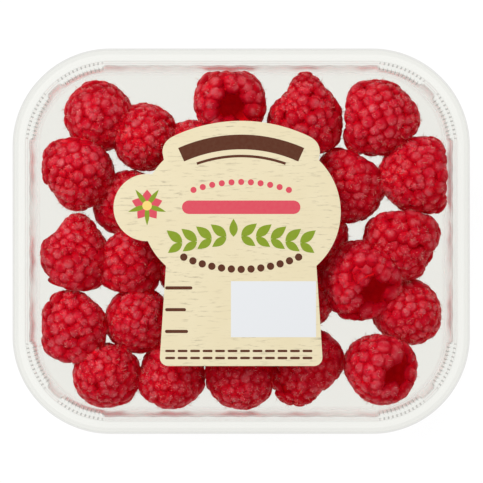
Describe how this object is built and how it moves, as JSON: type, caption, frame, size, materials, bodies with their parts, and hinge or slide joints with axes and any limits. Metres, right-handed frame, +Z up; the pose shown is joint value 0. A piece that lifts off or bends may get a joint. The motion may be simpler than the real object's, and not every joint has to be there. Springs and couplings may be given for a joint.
{
  "type": "punnet of raspberries",
  "caption": "Clear sealed plastic punnet holding a layer of raspberries under a film with a cream die-cut paper label",
  "frame": {"origin": "centre of the tray's underside", "axes": "+X along the tray's long side, +Y along its short side towards the label's head, +Z up out of the tray"},
  "size_m": [0.143, 0.1204, 0.03],
  "materials": {
    "clear_tray": "clear thermoformed plastic, glossy",
    "raspberry": "fresh fruit skin, soft sheen on each drupelet",
    "clear_film": "clear lidding film, glossy",
    "label_paper": "cream printed paper, satin"
  },
  "bodies": {
    "root": {"tray": "clear_tray", "berries": "raspberry", "film": "clear_film", "label": "label_paper"}
  },
  "joints": []
}
